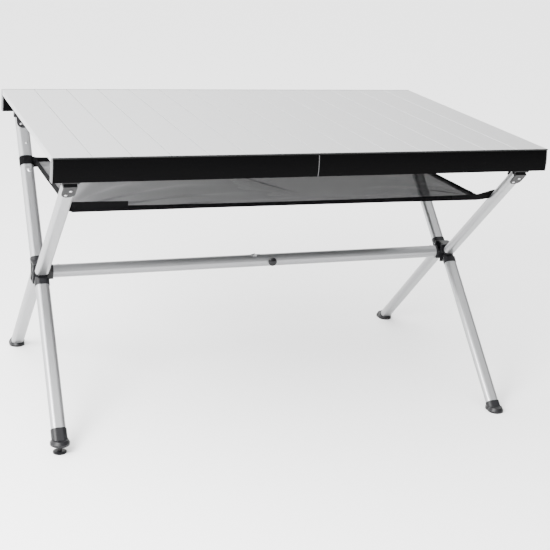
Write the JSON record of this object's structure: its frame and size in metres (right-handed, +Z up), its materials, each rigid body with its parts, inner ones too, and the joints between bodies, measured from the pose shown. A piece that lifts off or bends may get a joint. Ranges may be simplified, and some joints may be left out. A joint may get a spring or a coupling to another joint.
{
  "type": "folding camp table",
  "caption": "Folding camp table: roll-up slatted top on hinged rails, two cross-leg end frames joined by a folding crossbar, and a net shelf below.",
  "frame": {"origin": "on the floor, under the middle of the top", "axes": "+X along the table's width to its right end, +Y to the rear, +Z up"},
  "size_m": [1.2, 0.8, 0.7],
  "materials": {
    "slat_silver": "satin anodised",
    "rail_black": "black anodised, satin",
    "leg_grey": "satin anodised",
    "bar_grey": "satin grey anodised",
    "black_plastic": "fine grain",
    "dark_steel": "dark coated",
    "pin_steel": "plated",
    "knob_black": "gloss",
    "net_grey": "open mesh"
  },
  "bodies": {
    "crossbar_middle": {"crossbar_hinge": "bar_grey"},
    "bar_left": {"crossbar_left": "bar_grey", "crossbar_end_left": "black_plastic"},
    "bar_right": {"crossbar_right": "bar_grey", "crossbar_end_right": "black_plastic"},
    "lock_button": {"lock_knob": "knob_black"},
    "hub_left": {"hub_left": "black_plastic", "hub_pins_left": "pin_steel", "net_shelf": "net_grey"},
    "hub_right": {"hub_right": "black_plastic", "hub_pins_right": "pin_steel"},
    "upper_front_left": {"upper_leg_front_left": "leg_grey", "upper_lug_front_left": "black_plastic", "top_bracket_front_left": "dark_steel"},
    "lower_front_left": {"lower_leg_front_left": "leg_grey", "lower_lug_front_left": "black_plastic", "foot_front_left": "black_plastic"},
    "knuckle_front_left": {"front_rail_knuckle_left": "black_plastic"},
    "rail_front_left": {"front_rail_left": "rail_black"},
    "upper_front_right": {"upper_leg_front_right": "leg_grey", "upper_lug_front_right": "black_plastic", "top_bracket_front_right": "dark_steel"},
    "lower_front_right": {"lower_leg_front_right": "leg_grey", "lower_lug_front_right": "black_plastic", "foot_front_right": "black_plastic"},
    "knuckle_front_right": {"front_rail_knuckle_right": "black_plastic"},
    "rail_front_right": {"front_rail_right": "rail_black"},
    "upper_rear_left": {"upper_leg_rear_left": "leg_grey", "upper_lug_rear_left": "black_plastic", "top_bracket_rear_left": "dark_steel"},
    "lower_rear_left": {"lower_leg_rear_left": "leg_grey", "lower_lug_rear_left": "black_plastic", "foot_rear_left": "black_plastic"},
    "knuckle_rear_left": {"rear_rail_knuckle_left": "black_plastic"},
    "rail_rear_left": {"rear_rail_left": "rail_black"},
    "upper_rear_right": {"upper_leg_rear_right": "leg_grey", "upper_lug_rear_right": "black_plastic", "top_bracket_rear_right": "dark_steel"},
    "lower_rear_right": {"lower_leg_rear_right": "leg_grey", "lower_lug_rear_right": "black_plastic", "foot_rear_right": "black_plastic"},
    "knuckle_rear_right": {"rear_rail_knuckle_right": "black_plastic"},
    "rail_rear_right": {"rear_rail_right": "rail_black"},
    "level_screw": {"level_screw": "dark_steel"},
    "level_pad": {"level_pad": "black_plastic"},
    "slat_01": {"slat_01": "slat_silver"},
    "slat_02": {"slat_02": "slat_silver"},
    "slat_03": {"slat_03": "slat_silver"},
    "slat_04": {"slat_04": "slat_silver"},
    "slat_05": {"slat_05": "slat_silver"},
    "slat_06": {"slat_06": "slat_silver"},
    "slat_07": {"slat_07": "slat_silver"},
    "slat_08": {"slat_08": "slat_silver"},
    "slat_09": {"slat_09": "slat_silver"},
    "slat_10": {"slat_10": "slat_silver"},
    "slat_11": {"slat_11": "slat_silver"},
    "slat_12": {"slat_12": "slat_silver"},
    "slat_13": {"slat_13": "slat_silver"},
    "slat_14": {"slat_14": "slat_silver"}
  },
  "joints": [
    {"name": "fold", "type": "hinge", "parent": "crossbar_middle", "child": "bar_left", "pos_m": [0, 0, 0.3355], "axis": [0, 1, 0], "range_deg": [0, 80], "deforming": ["net_shelf"]},
    {"name": "fold_bar_right", "type": "hinge", "parent": "crossbar_middle", "child": "bar_right", "pos_m": [0, 0, 0.3355], "axis": [0, -1, 0], "range_deg": [0, 80.1]},
    {"name": "fold_hub_left", "type": "hinge", "parent": "bar_left", "child": "hub_left", "pos_m": [-0.5535, 0, 0.3085], "axis": [0, -1, 0], "range_deg": [0, 80.1]},
    {"name": "fold_hub_right", "type": "hinge", "parent": "bar_right", "child": "hub_right", "pos_m": [0.5535, 0, 0.3085], "axis": [0, 1, 0], "range_deg": [0, 80.1]},
    {"name": "fold_upper_front_left", "type": "hinge", "parent": "hub_left", "child": "upper_front_left", "pos_m": [-0.5535, -0.0315, 0.3315], "axis": [-1, 0, 0], "range_deg": [0, 46.85]},
    {"name": "fold_lower_front_left", "type": "hinge", "parent": "hub_left", "child": "lower_front_left", "pos_m": [-0.5535, -0.0315, 0.3085], "axis": [1, 0, 0], "range_deg": [0, 46.14]},
    {"name": "fold_knuckle_front_left", "type": "hinge", "parent": "upper_front_left", "child": "knuckle_front_left", "pos_m": [-0.5535, -0.36, 0.64], "axis": [1, 0, 0], "range_deg": [0, 46.85]},
    {"name": "fold_rail_front_left", "type": "hinge", "parent": "knuckle_front_left", "child": "rail_front_left", "pos_m": [-0.5535, -0.38, 0.668], "axis": [0, 1, 0], "range_deg": [0, 80.1]},
    {"name": "fold_upper_rear_left", "type": "hinge", "parent": "hub_left", "child": "upper_rear_left", "pos_m": [-0.5535, 0.0315, 0.3315], "axis": [1, 0, 0], "range_deg": [0, 46.85]},
    {"name": "fold_lower_rear_left", "type": "hinge", "parent": "hub_left", "child": "lower_rear_left", "pos_m": [-0.5535, 0.0315, 0.3085], "axis": [-1, 0, 0], "range_deg": [0, 46.14]},
    {"name": "fold_knuckle_rear_left", "type": "hinge", "parent": "upper_rear_left", "child": "knuckle_rear_left", "pos_m": [-0.5535, 0.36, 0.64], "axis": [-1, 0, 0], "range_deg": [0, 46.85]},
    {"name": "fold_rail_rear_left", "type": "hinge", "parent": "knuckle_rear_left", "child": "rail_rear_left", "pos_m": [-0.5535, 0.38, 0.668], "axis": [0, 1, 0], "range_deg": [0, 80.1]},
    {"name": "fold_upper_front_right", "type": "hinge", "parent": "hub_right", "child": "upper_front_right", "pos_m": [0.5535, -0.0315, 0.3315], "axis": [-1, 0, 0], "range_deg": [0, 46.85]},
    {"name": "fold_lower_front_right", "type": "hinge", "parent": "hub_right", "child": "lower_front_right", "pos_m": [0.5535, -0.0315, 0.3085], "axis": [1, 0, 0], "range_deg": [0, 46.14]},
    {"name": "fold_knuckle_front_right", "type": "hinge", "parent": "upper_front_right", "child": "knuckle_front_right", "pos_m": [0.5535, -0.36, 0.64], "axis": [1, 0, 0], "range_deg": [0, 46.85]},
    {"name": "fold_rail_front_right", "type": "hinge", "parent": "knuckle_front_right", "child": "rail_front_right", "pos_m": [0.5535, -0.38, 0.668], "axis": [0, -1, 0], "range_deg": [0, 80.1]},
    {"name": "fold_upper_rear_right", "type": "hinge", "parent": "hub_right", "child": "upper_rear_right", "pos_m": [0.5535, 0.0315, 0.3315], "axis": [1, 0, 0], "range_deg": [0, 46.85]},
    {"name": "fold_lower_rear_right", "type": "hinge", "parent": "hub_right", "child": "lower_rear_right", "pos_m": [0.5535, 0.0315, 0.3085], "axis": [-1, 0, 0], "range_deg": [0, 46.14]},
    {"name": "fold_knuckle_rear_right", "type": "hinge", "parent": "upper_rear_right", "child": "knuckle_rear_right", "pos_m": [0.5535, 0.36, 0.64], "axis": [-1, 0, 0], "range_deg": [0, 46.85]},
    {"name": "fold_rail_rear_right", "type": "hinge", "parent": "knuckle_rear_right", "child": "rail_rear_right", "pos_m": [0.5535, 0.38, 0.668], "axis": [0, -1, 0], "range_deg": [0, 80.1]},
    {"name": "top_lift", "type": "slide", "parent": "crossbar_middle", "child": "slat_01", "axis": [0, 0, 1], "range_m": [0, 1.4]},
    {"name": "roll_01", "type": "hinge", "parent": "slat_01", "child": "slat_02", "pos_m": [-0.51429, 0, 0.7], "axis": [0, -1, 0], "range_deg": [0, 46]},
    {"name": "roll_02", "type": "hinge", "parent": "slat_02", "child": "slat_03", "pos_m": [-0.42857, 0, 0.7], "axis": [0, -1, 0], "range_deg": [0, 48]},
    {"name": "roll_03", "type": "hinge", "parent": "slat_03", "child": "slat_04", "pos_m": [-0.34286, 0, 0.7], "axis": [0, -1, 0], "range_deg": [0, 50]},
    {"name": "roll_04", "type": "hinge", "parent": "slat_04", "child": "slat_05", "pos_m": [-0.25714, 0, 0.7], "axis": [0, -1, 0], "range_deg": [0, 51]},
    {"name": "roll_05", "type": "hinge", "parent": "slat_05", "child": "slat_06", "pos_m": [-0.17143, 0, 0.7], "axis": [0, -1, 0], "range_deg": [0, 53]},
    {"name": "roll_06", "type": "hinge", "parent": "slat_06", "child": "slat_07", "pos_m": [-0.08571, 0, 0.7], "axis": [0, -1, 0], "range_deg": [0, 56]},
    {"name": "roll_07", "type": "hinge", "parent": "slat_07", "child": "slat_08", "pos_m": [0, 0, 0.7], "axis": [0, -1, 0], "range_deg": [0, 58]},
    {"name": "roll_08", "type": "hinge", "parent": "slat_08", "child": "slat_09", "pos_m": [0.08571, 0, 0.7], "axis": [0, -1, 0], "range_deg": [0, 61]},
    {"name": "roll_09", "type": "hinge", "parent": "slat_09", "child": "slat_10", "pos_m": [0.17143, 0, 0.7], "axis": [0, -1, 0], "range_deg": [0, 64]},
    {"name": "roll_10", "type": "hinge", "parent": "slat_10", "child": "slat_11", "pos_m": [0.25714, 0, 0.7], "axis": [0, -1, 0], "range_deg": [0, 68]},
    {"name": "roll_11", "type": "hinge", "parent": "slat_11", "child": "slat_12", "pos_m": [0.34286, 0, 0.7], "axis": [0, -1, 0], "range_deg": [0, 73]},
    {"name": "roll_12", "type": "hinge", "parent": "slat_12", "child": "slat_13", "pos_m": [0.42857, 0, 0.7], "axis": [0, -1, 0], "range_deg": [0, 79]},
    {"name": "roll_13", "type": "hinge", "parent": "slat_13", "child": "slat_14", "pos_m": [0.51429, 0, 0.7], "axis": [0, -1, 0], "range_deg": [0, 86]},
    {"name": "lock_press", "type": "slide", "parent": "bar_right", "child": "lock_button", "axis": [0, 1, 0], "range_m": [0, 0.0025], "stiffness_N_per_m": 400},
    {"name": "level_travel", "type": "slide", "parent": "lower_front_left", "child": "level_screw", "axis": [0, 0, 1], "range_m": [0, 0.0076]},
    {"name": "level_turn", "type": "hinge", "parent": "level_screw", "child": "level_pad", "pos_m": [-0.5535, -0.32822, 0], "axis": [0, 0, 1], "range_deg": [0, 1800]}
  ],
  "couplings": [
    {"joint": "fold_bar_right", "follows": "fold", "ratio": 1},
    {"joint": "fold_hub_left", "follows": "fold", "ratio": 1},
    {"joint": "fold_hub_right", "follows": "fold", "ratio": 1},
    {"joint": "fold_upper_front_left", "follows": "fold", "ratio": 0.58498},
    {"joint": "fold_lower_front_left", "follows": "fold", "ratio": 0.57616},
    {"joint": "fold_knuckle_front_left", "follows": "fold", "ratio": 0.58498},
    {"joint": "fold_rail_front_left", "follows": "fold", "ratio": 1},
    {"joint": "fold_upper_rear_left", "follows": "fold", "ratio": 0.58498},
    {"joint": "fold_lower_rear_left", "follows": "fold", "ratio": 0.57616},
    {"joint": "fold_knuckle_rear_left", "follows": "fold", "ratio": 0.58498},
    {"joint": "fold_rail_rear_left", "follows": "fold", "ratio": 1},
    {"joint": "fold_upper_front_right", "follows": "fold", "ratio": 0.58498},
    {"joint": "fold_lower_front_right", "follows": "fold", "ratio": 0.57616},
    {"joint": "fold_knuckle_front_right", "follows": "fold", "ratio": 0.58498},
    {"joint": "fold_rail_front_right", "follows": "fold", "ratio": 1},
    {"joint": "fold_upper_rear_right", "follows": "fold", "ratio": 0.58498},
    {"joint": "fold_lower_rear_right", "follows": "fold", "ratio": 0.57616},
    {"joint": "fold_knuckle_rear_right", "follows": "fold", "ratio": 0.58498},
    {"joint": "fold_rail_rear_right", "follows": "fold", "ratio": 1},
    {"joint": "top_lift", "follows": "fold", "m_per_rad": 1},
    {"joint": "level_travel", "follows": "level_turn", "m_per_rad": 0.0002387}
  ]
}
